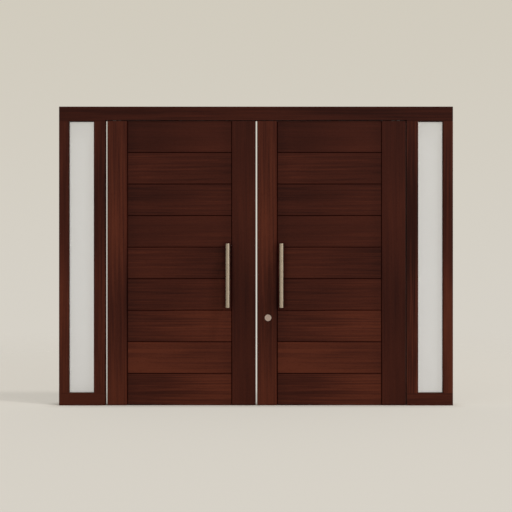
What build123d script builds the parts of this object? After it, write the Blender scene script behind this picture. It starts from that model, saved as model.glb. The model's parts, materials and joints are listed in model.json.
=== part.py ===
from build123d import *
import os

# A pair of pivot-hung timber entrance leaves in one frame with a glazed sidelight at each side.
# Set out as a joiner would: x from the left wall face, y from the middle of the frame's depth
# with the outside at minus y, z from the floor.

# Frame members
jamb_face = 70.0
mullion_face = 84.0
light_width = 186.0
sill_height = 90.0
opening_height = 2100.0
head_height = 100.0
head_drop_at_lights = 7.0
frame_depth = 70.0
frame_arris = 1.5

# Sidelight glazing, put in from the inside and held by beads
glass_setback = 38.0
glass_thickness = 8.0
rebate_width = 12.0
glass_edge_play = 0.5
bead_bevel = 7.0
mitre_play = 0.3

# Gaps round and between the leaves
hinge_gap_left = 15.0
meeting_gap = 10.5
hinge_gap_right = 8.5
floor_gap = 3.0
head_gap = 5.0

# Leaves, set a little behind the outside of the frame
leaf_width = 1093.0
leaf_thickness = 45.0
leaf_setback = 3.0
narrow_stile = 147.0
wide_stile = 175.0
stile_arris = 2.0
heel_radius = 8.0

# Horizontal boards between the stiles
board_count = 9
board_recess = 3.0
shadow_gap = 4.0
board_arris = 2.0
tongue_thickness = 12.0
tongue_reach = 8.0
housing_reach = 10.0
tongue_end_play = 0.2

# Pivots in the head and at the floor
pivot_inset = 70.0
pin_diameter = 16.0
pin_clearance = 0.05
pin_reach = 30.0
pin_end_play = 6.0
collar_diameter = 22.0
collar_play = 0.3
plate_thickness = 3.0
plate_width = 24.0
plate_side_play = 5.0
head_plate_reach = 32.0
plate_under_sill = 64.0
heel_relief = 5.0
shoe_length = 90.0
shoe_width = 28.0
shoe_height = 45.0

# Pull handles
bar_diameter = 32.0
bar_length = 470.0
bar_standoff = 60.0
bar_end_bevel = 1.5
bar_height = 956.0
bar_from_stile = 30.0
post_diameter = 20.0
post_spacing = 320.0
post_foot_diameter = 28.0
post_foot_thickness = 4.0

# Lock
lock_height = 645.0
lock_backset = 80.0
rose_diameter = 50.0
rose_thickness = 6.0
rose_bevel = 2.0
cylinder_diameter = 24.0
cylinder_proud = 1.0
cylinder_play = 0.3
keyway_width = 2.2
keyway_height = 10.0
keyway_depth = 8.0
forend_width = 24.0
forend_height = 240.0
forend_thickness = 3.0
bolt_width = 14.0
bolt_height = 46.0
bolt_recess = 0.8
bolt_play = 1.0
keep_depth = 14.0

# Where the main lines fall
side_width = jamb_face + light_width + mullion_face
door_width = hinge_gap_left + leaf_width + meeting_gap + leaf_width + hinge_gap_right
overall_width = side_width + door_width + side_width
left_leaf_x = side_width + hinge_gap_left
right_leaf_x = left_leaf_x + leaf_width + meeting_gap
light_top = opening_height - head_drop_at_lights
leaf_bottom = floor_gap
leaf_top = opening_height - head_gap
heel_bottom = leaf_bottom + heel_relief
frame_front = -frame_depth / 2
frame_back = frame_depth / 2
leaf_middle = frame_front + leaf_setback + leaf_thickness / 2
glass_front = frame_front + glass_setback
glass_back = glass_front + glass_thickness


def block(x0, x1, y0, y1, z0, z1):
    """A rectangular piece between two corners."""
    return Pos(x0, y0, z0) * Box(x1 - x0, y1 - y0, z1 - z0, align=(Align.MIN, Align.MIN, Align.MIN))


def rod(x, y, z0, z1, diameter):
    """An upright round bar between two heights."""
    return Pos(x, y, z0) * Cylinder(diameter / 2, z1 - z0, align=(Align.CENTER, Align.CENTER, Align.MIN))


def cross_rod(x, z, y0, y1, diameter):
    """A round bar through the depth of the door, from y0 to y1."""
    upright = Cylinder(diameter / 2, abs(y1 - y0))
    return Pos(x, (y0 + y1) / 2, z) * Rot(90, 0, 0) * upright


def flip(piece):
    """The same piece at the other side of the frame."""
    return Pos(overall_width, 0, 0) * mirror(piece, about=Plane.YZ)


def glazing_void():
    """The rebate round the left sidelight, open to the inside."""
    return block(
        jamb_face - rebate_width,
        jamb_face + light_width + rebate_width,
        glass_front,
        frame_back,
        sill_height - rebate_width,
        light_top + rebate_width,
    )


def floor_plate(pivot_x):
    """The left floor plate, which runs from under the sill to a round end about the pivot."""
    y0 = leaf_middle - plate_width / 2
    y1 = leaf_middle + plate_width / 2
    bar = block(side_width - plate_under_sill, pivot_x, y0, y1, 0, plate_thickness)
    return bar + rod(pivot_x, leaf_middle, 0, plate_thickness, plate_width)


def head_plate_box(pivot_x):
    """The left head plate, let in flush with the underside of the head."""
    return block(
        pivot_x - head_plate_reach,
        pivot_x + head_plate_reach,
        leaf_middle - plate_width / 2,
        leaf_middle + plate_width / 2,
        opening_height,
        opening_height + plate_thickness,
    )


# Sidelight posts and sills: the jamb and mullion stand on the sill and carry the head
def sidelight_post(x0, x1):
    post = block(x0, x1, frame_front, frame_back, sill_height, light_top)
    post = chamfer(post.edges().filter_by(Axis.Z), frame_arris)
    return post - glazing_void()


def sidelight_sill():
    sill = block(0, side_width, frame_front, frame_back, 0, sill_height)
    ends = sill.edges().filter_by(Axis.Z)
    tops = sill.edges().filter_by(Axis.X).group_by(Axis.Z)[-1]
    sill = chamfer(ends + tops, frame_arris)
    return sill - glazing_void() - floor_plate(side_width)


def sidelight_glass():
    return block(
        jamb_face - rebate_width + glass_edge_play,
        jamb_face + light_width + rebate_width - glass_edge_play,
        glass_front,
        glass_back,
        sill_height - rebate_width,
        light_top + rebate_width - glass_edge_play,
    )


def glazing_beads():
    """Four beads mitred round the left pane, bevelled towards it on the inside."""
    x0 = jamb_face - rebate_width
    x1 = jamb_face + light_width + rebate_width
    z0 = sill_height - rebate_width
    z1 = light_top + rebate_width
    ring = block(x0, x1, glass_back, frame_back, z0, z1)
    ring -= block(
        x0 + rebate_width,
        x1 - rebate_width,
        glass_back,
        frame_back,
        z0 + rebate_width,
        z1 - rebate_width,
    )
    inside_face = ring.faces().sort_by(Axis.Y)[-1]
    ring = chamfer(inside_face.inner_wires()[0].edges(), bead_bevel)
    saw_cut = Box(4 * rebate_width, 2 * frame_depth, mitre_play)
    for x, z, turn in ((x0, z0, -45), (x1, z0, 45), (x0, z1, 45), (x1, z1, -45)):
        ring -= Pos(x, 0, z) * Rot(0, turn, 0) * saw_cut
    return ring


def pivot_pair(x):
    """Left floor plate with its pin and thrust collar, and the head plate with its pin."""
    floor = floor_plate(x)
    floor += rod(x, leaf_middle, plate_thickness, heel_bottom - collar_play, collar_diameter)
    floor += rod(x, leaf_middle, plate_thickness, heel_bottom + pin_reach, pin_diameter)
    head = head_plate_box(x)
    head += rod(x, leaf_middle, leaf_top - pin_reach, opening_height, pin_diameter)
    return floor, head


# Leaf pieces, made in the leaf's own frame with x from its left edge and y from mid thickness
def shoe_boxes():
    """The pockets for the pivot shoes in the two ends of a hinge stile."""
    x0 = pivot_inset - shoe_length / 2
    x1 = pivot_inset + shoe_length / 2
    half = shoe_width / 2
    low = block(x0, x1, -half, half, heel_bottom, heel_bottom + shoe_height)
    high = block(x0, x1, -half, half, leaf_top - shoe_height, leaf_top)
    return low, high


def pivot_shoes():
    """The steel blocks in the ends of the hinge stile that turn on the pins."""
    bore = pin_diameter + 2 * pin_clearance
    depth = pin_reach + pin_end_play
    low, high = shoe_boxes()
    low -= rod(pivot_inset, 0, heel_bottom, heel_bottom + depth, bore)
    high -= rod(pivot_inset, 0, leaf_top - depth, leaf_top, bore)
    return low, high


def stile(width, inside_round):
    """A stile with its outer edge at x = 0, rounded more on the inside where it turns past the frame,
    and the housing groove for the boards in its inner edge."""
    half = leaf_thickness / 2
    post = block(0, width, -half, half, leaf_bottom, leaf_top)
    for corner, rounding in ((0, stile_arris), (-1, inside_round)):
        outer_edges = post.edges().filter_by(Axis.Z).group_by(Axis.X)[0].sort_by(Axis.Y)
        post = fillet(outer_edges[corner], rounding)
    post = chamfer(post.edges().filter_by(Axis.Z).group_by(Axis.X)[-1], stile_arris)
    groove = block(
        width - housing_reach - tongue_end_play,
        width,
        -tongue_thickness / 2,
        tongue_thickness / 2,
        leaf_bottom,
        leaf_top,
    )
    return post - groove


def hinge_stile(width):
    """A stile with the pockets for its shoes, its foot cut away behind the outside face so that it
    swings clear of the floor plate."""
    post = stile(width, heel_radius)
    for pocket in shoe_boxes():
        post -= pocket
    return post - block(
        0,
        pivot_inset + shoe_length / 2,
        -plate_width / 2 - plate_side_play,
        leaf_thickness / 2,
        leaf_bottom,
        heel_bottom,
    )


def meeting_stile(width):
    return stile(width, stile_arris) - edge_plate()


def right_edge(piece):
    """A piece made for the leaf's left edge, turned to its right edge."""
    return Pos(leaf_width, 0, 0) * mirror(piece, about=Plane.YZ)


def board(index):
    """One board with a tongue above, a groove below and tongued ends housed in the stiles."""
    pitch = (leaf_top - leaf_bottom) / board_count
    lowest = index == 0
    highest = index == board_count - 1
    z0 = leaf_bottom + index * pitch + (0 if lowest else shadow_gap / 2)
    z1 = leaf_bottom + (index + 1) * pitch - (0 if highest else shadow_gap / 2)
    x0 = narrow_stile + shadow_gap
    x1 = leaf_width - wide_stile - shadow_gap
    half = leaf_thickness / 2 - board_recess
    core_half = tongue_thickness / 2
    core_bottom = z0 if lowest else z0 + tongue_reach + tongue_end_play
    core_top = z1 if highest else z1 + shadow_gap + tongue_reach
    body = block(x0, x1, -half, half, z0, z1)
    body = chamfer(body.faces().filter_by(Axis.Y).edges(), board_arris)
    if not lowest:
        body -= block(x0, x1, -core_half, core_half, z0, core_bottom)
    core = block(
        narrow_stile - housing_reach,
        leaf_width - wide_stile + housing_reach,
        -core_half,
        core_half,
        core_bottom,
        core_top,
    )
    return body + core


def pull_handle(x):
    """A round bar on two posts, whose feet sit on the outside of the boards."""
    face = -leaf_thickness / 2 + board_recess
    axis = face - bar_standoff
    bar = rod(x, axis, bar_height - bar_length / 2, bar_height + bar_length / 2, bar_diameter)
    bar = chamfer(bar.edges().filter_by(GeomType.CIRCLE), bar_end_bevel)
    for side in (-1, 1):
        z = bar_height + side * post_spacing / 2
        bar += cross_rod(x, z, axis, face, post_diameter)
        bar += cross_rod(x, z, face - post_foot_thickness, face, post_foot_diameter)
    return bar


def inside(piece):
    """The matching piece on the leaf's inside face."""
    return mirror(piece, about=Plane.XZ)


def lock_rose(x):
    """A round rose on the outside face, pierced for the lock cylinder."""
    face = -leaf_thickness / 2
    rose = cross_rod(x, lock_height, face - rose_thickness, face, rose_diameter)
    rim = rose.edges().filter_by(GeomType.CIRCLE).group_by(Axis.Y)[0]
    rose = chamfer(rim, rose_bevel)
    return rose - cross_rod(x, lock_height, face - rose_thickness, face, cylinder_bore)


def lock_cylinder(x):
    """The key cylinder through the stile, a little proud of both roses, with a keyway in each end."""
    reach = leaf_thickness / 2 + rose_thickness + cylinder_proud
    barrel = cross_rod(x, lock_height, -reach, reach, cylinder_diameter)
    keyway = Box(keyway_width, 2 * keyway_depth, keyway_height)
    for end in (-reach, reach):
        barrel -= Pos(x, end, lock_height) * keyway
    return barrel


def edge_plate():
    """A lock plate let into a meeting edge that lies at x = 0."""
    low = lock_height - forend_height / 2
    return block(0, forend_thickness, -forend_width / 2, forend_width / 2, low, low + forend_height)


def bolt_box(depth, play):
    """The space of the lock bolt's nose behind a meeting edge that lies at x = 0."""
    half_width = bolt_width / 2 + play
    half_height = bolt_height / 2 + play
    return block(0, depth, -half_width, half_width, lock_height - half_height, lock_height + half_height)


def write(name, shape):
    """Write one node's STEP file."""
    shape.label = name
    export_step(shape, f"parts/{name}.step")


os.makedirs("parts", exist_ok=True)

# Head over the full width, cut back over the doorway, with the rebates and the pivot plates let
# into its underside
left_pivot_x = left_leaf_x + pivot_inset
right_pivot_x = side_width + hinge_gap_right + pivot_inset
head_top = opening_height + head_height
head = block(0, overall_width, frame_front, frame_back, light_top, head_top)
head = chamfer(head.edges(), frame_arris)
head -= block(side_width, overall_width - side_width, frame_front, frame_back, light_top, opening_height)
head -= glazing_void()
head -= flip(glazing_void())
head -= head_plate_box(left_pivot_x)
head -= flip(head_plate_box(right_pivot_x))
write("head_rail", head)

# The two sides of the frame are alike, each facing the other
side_pieces = {
    "jamb": sidelight_post(0, jamb_face),
    "mullion": sidelight_post(jamb_face + light_width, side_width),
    "sidelight_sill": sidelight_sill(),
    "sidelight_glass": sidelight_glass(),
    "glazing_beads": glazing_beads(),
}
for name, piece in side_pieces.items():
    write(f"left_{name}", piece)
    write(f"right_{name}", flip(piece))
write("left_pivots", Compound(children=pivot_pair(left_pivot_x)))
write("right_pivots", Compound(children=[flip(piece) for piece in pivot_pair(right_pivot_x)]))

# Both leaves have the narrow stile at their left and the wide one at their right
left_leaf = Pos(left_leaf_x, leaf_middle, 0)
right_leaf = Pos(right_leaf_x, leaf_middle, 0)
for index in range(board_count):
    plank = board(index)
    write(f"left_leaf_board_{index + 1}", left_leaf * plank)
    write(f"right_leaf_board_{index + 1}", right_leaf * plank)

# Left leaf: hung on its narrow stile, with the lock's keep in its wide one
keep_pocket = bolt_box(keep_depth, bolt_play)
left_handle = pull_handle(leaf_width - wide_stile - bar_from_stile)
write("left_leaf_hinge_stile", left_leaf * hinge_stile(narrow_stile))
write("left_leaf_meeting_stile", left_leaf * right_edge(meeting_stile(wide_stile) - keep_pocket))
write("left_leaf_pivot_shoes", Compound(children=[left_leaf * shoe for shoe in pivot_shoes()]))
write("left_pull_handle_outside", left_leaf * left_handle)
write("left_pull_handle_inside", left_leaf * inside(left_handle))
write("lock_keep", left_leaf * right_edge(edge_plate() - keep_pocket))

# Right leaf: hung on its wide stile, with the lock in its narrow one
cylinder_bore = cylinder_diameter + 2 * cylinder_play
lock_hole = cross_rod(lock_backset, lock_height, -leaf_thickness / 2, leaf_thickness / 2, cylinder_bore)
right_handle = pull_handle(narrow_stile + bar_from_stile)
outside_rose = lock_rose(lock_backset)
roses = [right_leaf * rose for rose in (outside_rose, inside(outside_rose))]
write("right_leaf_meeting_stile", right_leaf * (meeting_stile(narrow_stile) - lock_hole))
write("right_leaf_hinge_stile", right_leaf * right_edge(hinge_stile(wide_stile)))
right_shoes = [right_leaf * right_edge(shoe) for shoe in pivot_shoes()]
write("right_leaf_pivot_shoes", Compound(children=right_shoes))
write("right_pull_handle_outside", right_leaf * right_handle)
write("right_pull_handle_inside", right_leaf * inside(right_handle))
write("lock_roses", Compound(children=roses))
write("lock_cylinder", right_leaf * lock_cylinder(lock_backset))
write("lock_forend", right_leaf * (edge_plate() - bolt_box(bolt_recess, 0)))
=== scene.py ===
import json
import math
import random

import bpy
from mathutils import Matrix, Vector


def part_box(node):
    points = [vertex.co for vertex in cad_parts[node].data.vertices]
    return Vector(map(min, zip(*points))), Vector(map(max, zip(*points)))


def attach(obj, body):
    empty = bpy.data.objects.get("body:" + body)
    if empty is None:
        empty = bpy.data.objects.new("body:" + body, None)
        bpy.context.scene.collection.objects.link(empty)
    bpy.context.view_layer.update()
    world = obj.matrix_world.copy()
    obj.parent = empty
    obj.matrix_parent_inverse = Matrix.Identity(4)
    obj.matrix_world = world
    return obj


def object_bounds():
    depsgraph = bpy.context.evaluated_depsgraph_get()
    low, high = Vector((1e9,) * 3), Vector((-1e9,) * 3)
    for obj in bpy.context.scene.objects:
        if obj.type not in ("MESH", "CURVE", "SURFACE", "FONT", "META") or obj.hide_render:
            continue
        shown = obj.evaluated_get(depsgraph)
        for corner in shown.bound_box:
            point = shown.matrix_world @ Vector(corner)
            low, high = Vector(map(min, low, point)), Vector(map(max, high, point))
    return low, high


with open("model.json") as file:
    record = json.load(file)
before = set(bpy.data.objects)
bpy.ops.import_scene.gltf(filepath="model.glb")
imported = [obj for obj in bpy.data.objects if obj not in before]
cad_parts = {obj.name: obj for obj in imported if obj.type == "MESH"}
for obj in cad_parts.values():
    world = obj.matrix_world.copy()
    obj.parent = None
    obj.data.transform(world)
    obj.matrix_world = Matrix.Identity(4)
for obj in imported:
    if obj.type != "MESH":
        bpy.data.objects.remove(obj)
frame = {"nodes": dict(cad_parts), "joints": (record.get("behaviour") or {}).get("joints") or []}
cad_low, cad_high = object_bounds()


# Frame: a head rail over jambs and mullions, which stand on the two sidelight sills. All are planed
# from a close-grained red hardwood, stained dark brown and given a dull varnish; each length is
# its own cut of timber, and the stain took darker or lighter along it.
class Shade:
    """A socket in a node tree. Arithmetic on it adds Math nodes, and node() adds any other kind."""

    def __init__(self, tree, socket=None):
        self.tree = tree
        self.socket = socket

    def node(self, kind, settings=(), sockets=(), output=0):
        """Add a node: its settings first, then the values or links of its sockets."""
        made = self.tree.nodes.new(kind)
        for key, value in dict(settings).items():
            if key == "stops":
                ramp = made.color_ramp.elements
                for element, stop in ((ramp[0], value[0]), (ramp[1], value[-1])):
                    element.position, element.color = stop
                for position, colour in value[1:-1]:
                    ramp.new(position).color = colour
            elif key == "interpolation":
                made.color_ramp.interpolation = value
            else:
                setattr(made, key, value)
        for key, value in dict(sockets).items():
            if isinstance(value, Shade):
                self.tree.links.new(value.socket, made.inputs[key])
            else:
                made.inputs[key].default_value = value
        return Shade(self.tree, made.outputs[output] if made.outputs else None)

    def math(self, operation, first, second):
        """Math on two values."""
        return self.node("ShaderNodeMath", {"operation": operation}, {0: first, 1: second})

    def __add__(self, other):
        return self.math("ADD", self, other)

    def __sub__(self, other):
        return self.math("SUBTRACT", self, other)

    def __rsub__(self, other):
        return self.math("SUBTRACT", other, self)

    def __mul__(self, other):
        return self.math("MULTIPLY", self, other)

    def __abs__(self):
        return self.math("ABSOLUTE", self, 0)

    __radd__ = __add__
    __rmul__ = __mul__

    def vector(self, operation, *terms):
        """Vector Math on this vector and the terms after it."""
        sockets = dict(enumerate((self, *terms)))
        return self.node("ShaderNodeVectorMath", {"operation": operation}, sockets)

    def length(self):
        """How long this vector is."""
        return self.node("ShaderNodeVectorMath", {"operation": "LENGTH"}, {0: self}, "Value")

    def axis(self, letter):
        """How far this vector goes along X, Y or Z."""
        return self.node("ShaderNodeSeparateXYZ", {}, {0: self}, letter)

    def noise(self, stretch, detail=2.0, output=0):
        """Noise at this place, with its own number of features to a metre along each axis."""
        sockets = {"Vector": self.vector("MULTIPLY", stretch), "Scale": 1.0, "Detail": detail}
        return self.node("ShaderNodeTexNoise", {}, sockets, output)

    def step(self, low, high):
        """Nought below low and one above high, with a smooth rise between."""
        return self.node(
            "ShaderNodeMapRange",
            {"interpolation_type": "SMOOTHSTEP"},
            {"Value": self, "From Min": low, "From Max": high},
        )

    def mix(self, first, second, blend="MIX"):
        """Two colours mixed, where this is the share of the second."""
        settings = {"data_type": "RGBA", "blend_type": blend}
        return self.node("ShaderNodeMix", settings, {0: self, 6: first, 7: second}, 2)

    def bump(self, distance):
        """A surface raised by this height."""
        return self.node("ShaderNodeBump", {}, {"Height": self, "Strength": 0.6, "Distance": distance})


def chart(red, green, blue):
    """A colour in the 0 to 255 numbers of a colour chart, as linear light with full cover."""
    shares = [value / 255 for value in (red, green, blue)]
    return (*[s / 12.92 if s < 0.04045 else ((s + 0.055) / 1.055) ** 2.4 for s in shares], 1.0)


def new_material(name):
    """An empty material, and the place on the object, which its nodes start from."""
    material = bpy.data.materials.new(name)
    material.use_nodes = True
    material.node_tree.nodes.clear()
    start = Shade(material.node_tree)
    return material, start.node("ShaderNodeTexCoord", {}, {}, "Object")


def surface(place, sockets):
    """Close a material with its shader."""
    shader = place.node("ShaderNodeBsdfPrincipled", {}, sockets)
    place.node("ShaderNodeOutputMaterial", {}, {"Surface": shader})


stain_dark = chart(39, 15, 10)
stain_middle = chart(60, 26, 17)
stain_light = chart(81, 38, 24)
# Colour of pooled stain and painted shade in the joints and grooves.
pooled_stain_and_shade = (0.4, 0.14, 0.09, 1.0)
ring_width = 0.006
edge_depth = 0.0014
# How far from a joint the pooled stain and painted shade reach.
joint_shade_reach = 0.009
# How high the painted shade of the floor rises up the timber.
floor_shade_rise = 0.014
pore_stain = 0.5
# How dark the painted shade of the floor is.
floor_shade_strength = 0.5
# How dark the painted shade of the pull bar is on the timber round it.
painted_bar_shade = 0.62


def timber(node, cut, grain, tones, figure, pooling_and_shade=0.0, joint_x=None, handle=None):
    """Varnished timber for one node, its grain along X or Z; pieces with the same cut look alike. Each
    tone is a place along the grain, from 0 at the left or foot to 1, and how much lighter the stain is
    there. Figure is how strongly the lines of the grain show. The pooling and shade strength darkens
    the timber along the upright joint at joint_x or, where none is given, on all that lies below the
    faces: stain that pools there, and painted shade of the joint. Painted shade of the floor darkens
    the foot, and painted shade of the pull bar darkens the timber round the bar of the handle."""
    low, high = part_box(node)
    size = high - low
    chance = random.Random(cut)
    upright = grain == "Z"
    length = size.z if upright else size.x

    def stretch(along, across):
        """One number along the grain and another across it, as a vector."""
        return (across, across, along) if upright else (along, across, across)

    material, place = new_material(f"{node}_timber")
    centred = place.vector("SUBTRACT", (low + high) / 2)
    slant = (0, math.radians(chance.uniform(-0.5, 0.5)), 0)
    drift = stretch(chance.uniform(5, 60), 0)
    laid = {"Vector": centred, "Rotation": slant, "Location": drift}
    grained = place.node("ShaderNodeMapping", {}, laid)
    sway = grained.noise(stretch(1.1, 4), 1.0, "Color")
    bent = sway.vector("MULTIPLY_ADD", stretch(0, 0.016), grained)

    cloud = bent.noise(stretch(1.4, 6), 1.0)
    band = bent.noise(stretch(0.9, 22))
    vein = bent.noise(stretch(1.6, 62))
    streak = bent.noise(stretch(3.0, 170))
    fibre = bent.noise(stretch(14, 700))
    pores = bent.noise(stretch(45, 1300), 1.0).step(0.58, 0.68)
    pith_side = chance.uniform(-0.04, 0.04)
    pith_depth = chance.uniform(0.06, 0.12)
    pith = (pith_side, pith_depth, 0) if upright else (0, pith_depth, pith_side)
    radius = bent.vector("MULTIPLY_ADD", stretch(0, 1), pith).length()
    ring = place.math("PINGPONG", radius, ring_width) * (1 / ring_width)

    # The mean of each noise is taken off again, so that the tones alone set how light the timber is.
    stops = [(position, (0.5 + tone, 0.5 + tone, 0.5 + tone, 1.0)) for position, tone in tones]
    easing = {"stops": stops, "interpolation": "EASE"}
    tone = place.node("ShaderNodeValToRGB", easing, {0: centred.axis(grain) * (1 / length) + 0.5})
    lines = (band * 0.4 + vein * 0.7 + streak * 0.5 + ring * 0.12 - 0.86) * figure
    depth = tone + lines + cloud * 0.25 + fibre * 0.25 - 0.25
    stain = [(0.0, stain_dark), (0.5, stain_middle), (1.0, stain_light)]
    stained = place.node("ShaderNodeValToRGB", {"stops": stain}, {0: depth})

    on_face = abs(centred.axis("Y")).step(size.y / 2 - edge_depth, size.y / 2)
    # Below the faces, or along the joint, the stain pools and shade is painted in.
    pooled_and_shaded = 1 - on_face
    if joint_x is not None:
        pooled_and_shaded = 1 - abs(place.axis("X") - joint_x).step(0.0, joint_shade_reach)
    height = place.axis("Z")
    # Painted shade where the timber meets the floor, darkening the foot of each piece.
    painted_floor_shade = 1 - height.step(0.0, floor_shade_rise)
    darker = pores * pore_stain + pooled_and_shaded * pooling_and_shade + painted_floor_shade * floor_shade_strength
    # Painted shade of the pull bar: the timber beside the bar and along its length is darkened.
    if handle is not None:
        bar_shade_near, bar_shade_far = 0.014, 0.06
        inside_end, past_end = 0.02, 0.03
        bar_low, bar_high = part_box(handle)
        bar = (bar_low + bar_high) / 2
        reach = (bar_high.z - bar_low.z) / 2
        beside = 1 - abs(place.axis("X") - bar.x).step(bar_shade_near, bar_shade_far)
        level = 1 - abs(height - bar.z).step(reach - inside_end, reach + past_end)
        darker = darker + beside * level * painted_bar_shade
    surface(place, {
        "Base Color": darker.mix(stained, pooled_stain_and_shade, "MULTIPLY"),
        "Roughness": 0.95 - on_face * 0.47 - fibre * 0.1 + pores * 0.15,
        "Specular IOR Level": 0.05,
        "Normal": (fibre + streak * 0.5 - pores).bump(0.00012),
    })
    return material


def dress(node, material):
    """Give a node's object its finish."""
    slots = frame["nodes"][node].data.materials
    slots.clear()
    slots.append(material)


frame_tones = {
    "head_rail": ("X", ((0.0, -0.3), (0.45, -0.14), (0.78, -0.38), (1.0, -0.34)), 1.0),
    "left_jamb": ("Z", ((0.0, 0.11), (0.3, 0.2), (0.65, -0.18), (1.0, -0.06)), 1.1),
    "right_jamb": ("Z", ((0.0, 0.2), (0.25, 0.3), (0.64, -0.16), (1.0, 0.08)), 1.5),
    "left_mullion": ("Z", ((0.0, -0.06), (0.35, 0.04), (0.68, -0.32), (1.0, -0.11)), 1.3),
    "right_mullion": ("Z", ((0.0, 0.12), (0.3, 0.14), (0.62, -0.58), (1.0, -0.04)), 2.2),
    "left_sidelight_sill": ("X", ((0.0, 0.15), (1.0, 0.13)), 0.3),
    "right_sidelight_sill": ("X", ((0.0, 0.05), (1.0, -0.02)), 1.0),
}
for node, (grain, tones, figure) in frame_tones.items():
    dress(node, timber(node, node, grain, tones, figure))


# Sidelight panes: 8 mm float glass, acid-etched to a milky white, bedded in the rebates. A thin
# bead of brown sealant is run round the outside of each pane, in the corner with the timber.
sides = ("left", "right")
etched, place = new_material("etched_glass")
bloom = place.noise((3, 3, 2))
grit = place.noise((1800, 1800, 1800), 1.0)
surface(place, {
    "Base Color": bloom.mix(chart(243, 245, 249), chart(246, 248, 252)),
    "Roughness": 0.28 + grit * 0.12,
    "Transmission Weight": 0.9,
    "IOR": 1.5,
    "Normal": grit.bump(0.00005),
})
for side in sides:
    dress(f"{side}_sidelight_glass", etched)


def node_group(name, sizes):
    """A geometry node group with a finish and named sizes, and the sockets of its inputs by name."""
    tree = bpy.data.node_groups.new(name, "GeometryNodeTree")
    tree.interface.new_socket("Geometry", in_out="OUTPUT", socket_type="NodeSocketGeometry")
    tree.interface.new_socket("Geometry", in_out="INPUT", socket_type="NodeSocketGeometry")
    tree.interface.new_socket("Finish", in_out="INPUT", socket_type="NodeSocketMaterial")
    for size in sizes:
        tree.interface.new_socket(size, in_out="INPUT", socket_type="NodeSocketFloat")
    source = tree.nodes.new("NodeGroupInput")
    return tree, {socket.name: Shade(tree, socket) for socket in source.outputs if socket.name}


def close_group(geometry, finish):
    """End a geometry node group: instances made real, the finish set."""
    real = geometry.node("GeometryNodeRealizeInstances", {}, {"Geometry": geometry})
    painted = real.node("GeometryNodeSetMaterial", {}, {"Geometry": real, "Material": finish})
    painted.node("NodeGroupOutput", {}, {"Geometry": painted})


def grow(name, body, slot, tree, inputs, points, edges=(), facing=None):
    """A plain mesh grown by a node group from points, each with the way that it faces. It moves with a
    body and takes its finish from the inputs; the slot it is given is not used."""
    mesh = bpy.data.meshes.new(name)
    mesh.from_pydata(points, edges, [])
    if facing:
        ways = mesh.attributes.new("facing", "FLOAT_VECTOR", "POINT")
        ways.data.foreach_set("vector", [value for way in facing for value in way])
    piece = bpy.data.objects.new(name, mesh)
    bpy.context.scene.collection.objects.link(piece)
    modifier = piece.modifiers.new("grow", "NODES")
    modifier.node_group = tree
    for socket in tree.interface.items_tree:
        if socket.name in inputs:
            modifier[socket.identifier] = inputs[socket.name]
    evaluated = piece.evaluated_get(bpy.context.evaluated_depsgraph_get())
    grown = bpy.data.meshes.new_from_object(evaluated)
    piece.modifiers.clear()
    piece.data = grown
    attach(piece, body)


sealant, place = new_material("brown_sealant")
wave = place.noise((60, 60, 60))
browns = [(0.3, chart(46, 30, 24)), (0.7, chart(66, 45, 36))]
tooled = place.node("ShaderNodeValToRGB", {"stops": browns}, {0: wave})
surface(place, {"Base Color": tooled, "Roughness": 0.35 + wave * 0.3, "Normal": wave.bump(0.0002)})

seal_tree, given = node_group("run_of_sealant", ["Radius", "Corner"])
path = given["Geometry"].node("GeometryNodeMeshToCurve", {}, {"Mesh": given["Geometry"]})
corner = {"Curve": path, "Radius": given["Corner"], "Count": 5}
path = path.node("GeometryNodeFilletCurve", {"mode": "POLY"}, corner)
ring = path.node("GeometryNodeCurvePrimitiveCircle", {}, {"Resolution": 10, "Radius": given["Radius"]})
run = path.node("GeometryNodeCurveToMesh", {}, {"Curve": path, "Profile Curve": ring})
close_group(run, given["Finish"])

seal_sizes = {"Radius": 0.0016, "Corner": 0.004, "Finish": sealant}
seal_points = []
seal_edges = []
for side in sides:
    jamb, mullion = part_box(f"{side}_jamb"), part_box(f"{side}_mullion")
    x0 = min(jamb[1].x, mullion[1].x)
    x1 = max(jamb[0].x, mullion[0].x)
    z0 = jamb[0].z
    z1 = jamb[1].z
    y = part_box(f"{side}_sidelight_glass")[0].y
    first = len(seal_points)
    seal_points += [(x0, y, z0), (x1, y, z0), (x1, y, z1), (x0, y, z1)]
    seal_edges += [(first + i, first + (i + 1) % 4) for i in range(4)]
grow("glazing_seals", "frame", "frame_timber", seal_tree, seal_sizes, seal_points, seal_edges)


# Glazing beads: mitred strips of the frame's timber, which hold the panes from the inside, each
# nailed into its rebate with small steel pins punched level with the timber.
bead_tones = ((0.0, 0.03), (1.0, 0.0))
bead_figure = 0.5
steel_grey = chart(150, 149, 146)


def brushed_metal(name, colour, roughness, brushing):
    """Metal with fine brushing; brushing is the number of scratches to a metre along each axis."""
    material, place = new_material(name)
    scratch = place.noise(brushing, 3.0)
    bloom = place.noise((14, 14, 9))
    dulled = (*[value * 0.82 for value in colour[:3]], 1.0)
    shine = scratch * 0.6 + bloom * 0.4
    surface(place, {
        "Base Color": shine.mix(dulled, colour),
        "Metallic": 1.0,
        "Roughness": roughness + scratch * 0.14 + bloom * 0.08,
        "Normal": scratch.bump(0.00004),
    })
    return material


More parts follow.
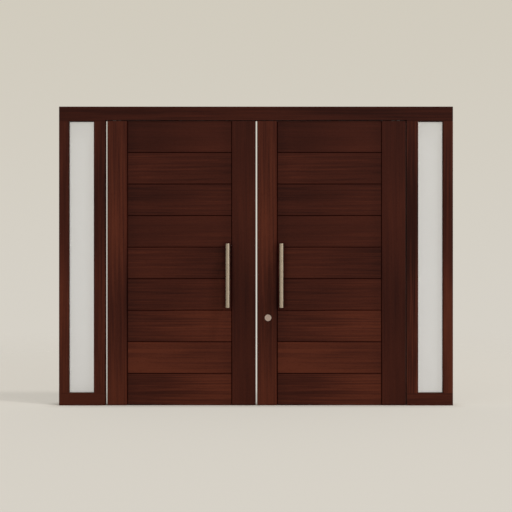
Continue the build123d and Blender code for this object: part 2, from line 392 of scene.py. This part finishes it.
pin_steel = brushed_metal("pin_steel", steel_grey, 0.4, (700, 700, 700))
pin_tree, given = node_group("bead_pins", ["Radius", "Proud Share"])
start = given["Geometry"]
ball = {"Segments": 12, "Rings": 6, "Radius": given["Radius"]}
head = start.node("GeometryNodeMeshUVSphere", {}, ball)
way = start.node("GeometryNodeInputNamedAttribute", {"data_type": "FLOAT_VECTOR"}, {"Name": "facing"})
turn = start.node("FunctionNodeAlignRotationToVector", {"axis": "Z"}, {"Vector": way})
flat = start.node("ShaderNodeCombineXYZ", {}, {"X": 1.0, "Y": 1.0, "Z": given["Proud Share"]})
driven = {"Points": start, "Instance": head, "Rotation": turn, "Scale": flat}
pins = start.node("GeometryNodeInstanceOnPoints", {}, driven)
close_group(pins, given["Finish"])

pin_sizes = {"Radius": 0.0011, "Proud Share": 0.25, "Finish": pin_steel}
pin_edge = 0.0027
pin_from_corner = 0.07
pin_spacing = 0.21
pin_points = []
for side in sides:
    beads = f"{side}_glazing_beads"
    dress(beads, timber(beads, beads, "Z", bead_tones, bead_figure))
    low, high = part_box(beads)
    count = round((high.z - low.z - 2 * pin_from_corner) / pin_spacing)
    for i in range(count + 1):
        z = low.z + pin_from_corner + i * (high.z - low.z - 2 * pin_from_corner) / count
        pin_points += [(low.x + pin_edge, high.y, z), (high.x - pin_edge, high.y, z)]
    for x in (low.x + pin_from_corner, high.x - pin_from_corner):
        pin_points += [(x, high.y, low.z + pin_edge), (x, high.y, high.z - pin_edge)]
inwards = [(0, 1, 0)] * len(pin_points)
grow("bead_pins", "frame", "pivot_steel", pin_tree, pin_sizes, pin_points, (), inwards)


# Pivots: blackened steel plates let into the head and laid on the floor, each with the pin that a
# leaf turns on, and a thrust collar round the lower pin. Countersunk wood screws hold the plates.
black_steel = brushed_metal("black_steel", chart(66, 63, 61), 0.4, (20, 900, 900))

shank_share = 0.6
arm_share = 0.3
screw_tree, given = node_group("wood_screws", ["Radius", "Sunk", "Proud", "Recess"])
start = given["Geometry"]
countersunk = {
    "Vertices": 28,
    "Radius Top": given["Radius"],
    "Radius Bottom": given["Radius"] * shank_share,
    "Depth": given["Sunk"] + given["Proud"],
}
head = start.node("GeometryNodeMeshCone", {}, countersunk)
sink = start.node("ShaderNodeCombineXYZ", {}, {"Z": 0 - given["Sunk"]})
head = start.node("GeometryNodeTransform", {}, {"Geometry": head, "Translation": sink})
lift = start.node("ShaderNodeCombineXYZ", {}, {"Z": given["Proud"]})
arm_length = given["Recess"] * 2
arm_width = given["Recess"] * arm_share
for arm_x, arm_y in ((arm_length, arm_width), (arm_width, arm_length)):
    size = start.node("ShaderNodeCombineXYZ", {}, {"X": arm_x, "Y": arm_y, "Z": given["Sunk"]})
    arm = start.node("GeometryNodeMeshCube", {}, {"Size": size})
    arm = start.node("GeometryNodeTransform", {}, {"Geometry": arm, "Translation": lift})
    cutting = {"operation": "DIFFERENCE", "solver": "MANIFOLD"}
    head = start.node("GeometryNodeMeshBoolean", cutting, {"Mesh 1": head, "Mesh 2": arm})
way = start.node("GeometryNodeInputNamedAttribute", {"data_type": "FLOAT_VECTOR"}, {"Name": "facing"})
turn = start.node("FunctionNodeAlignRotationToVector", {"axis": "Z"}, {"Vector": way})
angle = start.node("FunctionNodeRandomValue", {"data_type": "FLOAT"}, {"Max": math.pi, "Seed": 5}, 1)
spin = start.node("FunctionNodeAxisAngleToRotation", {}, {"Axis": (0, 0, 1), "Angle": angle})
turned_in = {"Rotation": turn, "Rotate By": spin}
turn = start.node("FunctionNodeRotateRotation", {"rotation_space": "LOCAL"}, turned_in)
driven = {"Points": start, "Instance": head, "Rotation": turn}
screws = start.node("GeometryNodeInstanceOnPoints", {}, driven)
close_group(screws, given["Finish"])

screw_sizes = {"Radius": 0.0042, "Sunk": 0.0014, "Proud": 0.0002, "Recess": 0.0021}
screw_steel = brushed_metal("screw_steel", chart(88, 85, 82), 0.32, (500, 500, 500))
pivot_screws = {**screw_sizes, "Finish": screw_steel}
plate_thickness = 0.003
head_screws_out = (-0.022, 0.022)
floor_screws_out = (0.03, 0.058)
up, down = (0, 0, 1), (0, 0, -1)
plate_points = []
plate_facing = []
for joint in frame["joints"]:
    side = joint["child"].split("_")[0]
    pivots = f"{side}_pivots"
    dress(pivots, black_steel)
    pin_x, pin_y = joint["pos_m"][:2]
    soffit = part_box(pivots)[1].z - plate_thickness
    to_sill = -1 if side == "left" else 1
    plate_points += [(pin_x + out, pin_y, soffit) for out in head_screws_out]
    plate_points += [(pin_x + to_sill * out, pin_y, plate_thickness) for out in floor_screws_out]
    plate_facing += [down, down, up, up]
plate_screws = (screw_tree, pivot_screws, plate_points, (), plate_facing)
grow("pivot_plate_screws", "frame", "pivot_steel", *plate_screws)


# Stiles: the two uprights of each leaf, the narrow one at its left a lighter cut than the wide one
# at its right. Their outer edges are rounded, and their inner edges are grooved for the boards.
narrow_tones = ((0.0, 0.3), (0.33, -0.1), (0.64, 0.26), (1.0, 0.06))
wide_tones = ((0.0, -0.08), (0.36, -0.28), (0.68, -0.08), (1.0, -0.22))
# Each cut: its name, its stiles, tones, figure, and the strength of pooled stain and painted shade
# along the board joint.
stile_cuts = (
    ("narrow_stile", ("left_leaf_hinge_stile", "right_leaf_meeting_stile"), narrow_tones, 1.05, 0.65),
    ("wide_stile", ("left_leaf_meeting_stile", "right_leaf_hinge_stile"), wide_tones, 0.6, 0.0),
)
for cut, stiles, tones, figure, pooling_and_shade in stile_cuts:
    for node in stiles:
        low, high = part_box(node)
        boards_at = high.x if cut == "narrow_stile" else low.x
        handle = f"{node.split('_')[0]}_pull_handle_outside"
        dress(node, timber(node, cut, "Z", tones, figure, pooling_and_shade, boards_at, handle))


# Pivot shoes: steel blocks let into both ends of a hinge stile, bored for the pivot pins and held
# by a countersunk screw at each end of the shoe.
shoe_screws_out = (-0.033, 0.033)
for joint in frame["joints"]:
    leaf = joint["child"]
    shoes = f"{leaf}_pivot_shoes"
    dress(shoes, black_steel)
    low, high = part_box(shoes)
    pin_x, pin_y = joint["pos_m"][:2]
    ends = [(pin_x + out, pin_y, z) for z in (low.z, high.z) for out in shoe_screws_out]
    facing = [down, down, up, up]
    grow(f"{leaf}_shoe_screws", leaf, "pivot_steel", screw_tree, pivot_screws, ends, (), facing)


# Boards: nine wide boards in each leaf, tongued and grooved with an open shadow line at each joint,
# their ends housed in the stiles, where the stain lies darker. Both leaves were boarded in the same
# order of tone, here from the floor up, with lighter boards in the second and third rows.
board_cuts = (
    (-0.08, 0.34, 1.45),
    (0.44, 0.24, 1.0),
    (-0.02, 0.32, 1.3),
    (-0.12, 0.02, 1.0),
    (0.01, -0.13, 1.2),
    (-0.12, -0.01, 0.55),
    (-0.2, -0.01, 1.1),
    (-0.04, -0.08, 1.15),
    (-0.25, -0.06, 0.45),
)
# Strength of pooled stain and painted shade in the joints below the boards' faces.
board_pooling_and_shade = 0.95
board_end = 0.16
end_stain = 0.14
for side in sides:
    handle = f"{side}_pull_handle_outside"
    for row, (left_tone, right_tone, figure) in enumerate(board_cuts, 1):
        node = f"{side}_leaf_board_{row}"
        tones = (
            (0.0, left_tone - end_stain),
            (board_end, left_tone),
            (1 - board_end, right_tone),
            (1.0, right_tone - end_stain),
        )
        dress(node, timber(node, f"board_{row}", "X", tones, figure, board_pooling_and_shade, None, handle))


# Pull handles: a round bar on two posts at each face of each leaf, of brass plated with a warm
# satin nickel and brushed lengthwise. A bolt through the leaf joins each outer post to the inner.
nickel = chart(184, 169, 151)
bar_nickel = brushed_metal("bar_nickel", nickel, 0.36, (900, 900, 14))
for side in sides:
    for face in ("outside", "inside"):
        dress(f"{side}_pull_handle_{face}", bar_nickel)


# Lock: a round cylinder through the right leaf's narrow stile between two turned roses, with a
# forend plate in that leaf's edge and a keep in the other's, each let in flush and held by screws.
lock_low, lock_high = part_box("lock_cylinder")
lock_centre = (lock_low + lock_high) / 2
turned, place = new_material("turned_nickel")
spokes = place.vector("MULTIPLY_ADD", (1, 0, 1), (-lock_centre.x, 0, -lock_centre.z))
on_radius = place.node("ShaderNodeCombineXYZ", {}, {"X": spokes.length()})
tooling = on_radius.noise((2600, 1, 1))
bloom = place.noise((40, 40, 40))
surface(place, {
    "Base Color": (tooling * 0.5 + bloom * 0.5).mix(chart(182, 162, 152), chart(204, 185, 176)),
    "Metallic": 1.0,
    "Roughness": 0.3 + tooling * 0.16,
    "Normal": tooling.bump(0.00005),
})
for node in ("lock_roses", "lock_cylinder"):
    dress(node, turned)
for node in ("lock_forend", "lock_keep"):
    dress(node, bar_nickel)

screw_nickel = brushed_metal("screw_nickel", nickel, 0.28, (500, 500, 500))
lock_screws = {**screw_sizes, "Finish": screw_nickel}
plate_screw_from_end = 0.012
for node, leaf, out in (("lock_forend", "right_leaf", -1), ("lock_keep", "left_leaf", 1)):
    low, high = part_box(node)
    x = low.x if out < 0 else high.x
    y = (low.y + high.y) / 2
    ends = [(x, y, low.z + plate_screw_from_end), (x, y, high.z - plate_screw_from_end)]
    grow(f"{node}_screws", leaf, "satin_nickel", screw_tree, lock_screws, ends, (), [(out, 0, 0)] * 2)


# Studio: a pale floor that runs out into an even pale backdrop, a small high light to the right, a
# wide weak one in front and to the right, and the camera square on at half the door's height.
seen_rays = ("Camera", "Glossy", "Transmission")
backdrop_low = chart(214, 209, 199)
backdrop_high = chart(209, 203, 189)
backdrop_turn = (-0.1, 0.3)
air_white = (1.0, 0.985, 0.96, 1.0)
air_strength = 0.95
scene = bpy.context.scene
world = bpy.data.worlds.new("studio_air")
scene.world = world
world.use_nodes = True
world.node_tree.nodes.clear()
start = Shade(world.node_tree)


def shown(start):
    """One where the camera sees a place itself, or in metal or through glass, and nought elsewhere."""
    rays = [start.node("ShaderNodeLightPath", {}, {}, f"Is {kind} Ray") for kind in seen_rays]
    return start.math("MAXIMUM", start.math("MAXIMUM", rays[0], rays[1]), rays[2])


direction = start.node("ShaderNodeTexCoord", {}, {}, "Generated")
pale = direction.axis("Z").step(*backdrop_turn).mix(backdrop_low, backdrop_high)
seen = start.node("ShaderNodeBackground", {}, {"Color": pale, "Strength": 1.0})
air = start.node("ShaderNodeBackground", {}, {"Color": air_white, "Strength": air_strength})
both = start.node("ShaderNodeMixShader", {}, {0: shown(start), 1: air, 2: seen})
start.node("ShaderNodeOutputWorld", {}, {"Surface": both})

floor_radius = 9.0
floor_sides = 96
mesh = bpy.data.meshes.new("floor")
rim = [2 * math.pi * i / floor_sides for i in range(floor_sides)]
middle = (cad_low + cad_high) / 2
mesh.from_pydata(
    [(middle.x + floor_radius * math.cos(a), floor_radius * math.sin(a), 0) for a in rim],
    [],
    [range(floor_sides)],
)
floor = bpy.data.objects.new("floor", mesh)
scene.collection.objects.link(floor)

# The floor shows its shading beside the frame, is evened out to the backdrop further off, more so in
# front than behind, and fades away towards its rim.
floor_pale = chart(190, 185, 176)
fade_from, fade_to = 2.5, 8.5
shading_reach = 0.15
even_in_front = 0.75
even_less_behind = 0.25
door_line = (-0.1, 0.1)
floor_paint, place = new_material("floor_paint")
from_middle = place.vector("SUBTRACT", (middle.x, 0, 0))
fade = from_middle.length().step(fade_from, fade_to)
head_low, head_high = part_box("head_rail")
half_plan = ((head_high.x - head_low.x) / 2, (head_high.y - head_low.y) / 2, 0)
outside = from_middle.vector("ABSOLUTE").vector("SUBTRACT", half_plan).vector("MAXIMUM", (0, 0, 0))
away = outside.length().step(0.0, shading_reach)
behind = place.axis("Y").step(*door_line)
even_share = shown(place) * away * (even_in_front - behind * even_less_behind)
lit = place.node("ShaderNodeBsdfDiffuse", {}, {"Color": floor_pale})
glow = place.node("ShaderNodeEmission", {}, {"Color": backdrop_low})
evened = place.node("ShaderNodeMixShader", {}, {0: even_share, 1: lit, 2: glow})
clear = place.node("ShaderNodeBsdfTransparent")
mixed = place.node("ShaderNodeMixShader", {}, {0: fade, 1: evened, 2: clear})
place.node("ShaderNodeOutputMaterial", {}, {"Surface": mixed})
mesh.materials.append(floor_paint)

lamp_aim = Vector((1.45, 0.0, 1.1))


def soft_light(name, place, width, power):
    """A square lamp turned to the middle of the door."""
    lamp = bpy.data.lights.new(name, "AREA")
    lamp.size = width
    lamp.energy = power
    held = bpy.data.objects.new(name, lamp)
    held.location = place
    held.rotation_euler = (lamp_aim - Vector(place)).to_track_quat("-Z", "Y").to_euler()
    scene.collection.objects.link(held)


soft_light("high_right", (11.8, -6.4, 21.8), 2.0, 2600)
soft_light("front_right", (15.3, -13.8, 5.1), 5.0, 650)

camera_distance = 7.9
view_width = 3.7685
camera_data = bpy.data.cameras.new("square_on")
camera_data.sensor_width = 36.0
camera_data.lens = camera_data.sensor_width * camera_distance / view_width
camera = bpy.data.objects.new("square_on", camera_data)
camera.location = (middle.x, head_low.y - camera_distance, middle.z)
camera.rotation_euler = (math.radians(90), 0, 0)
scene.collection.objects.link(camera)
scene.camera = camera
scene.view_settings.view_transform = "Standard"
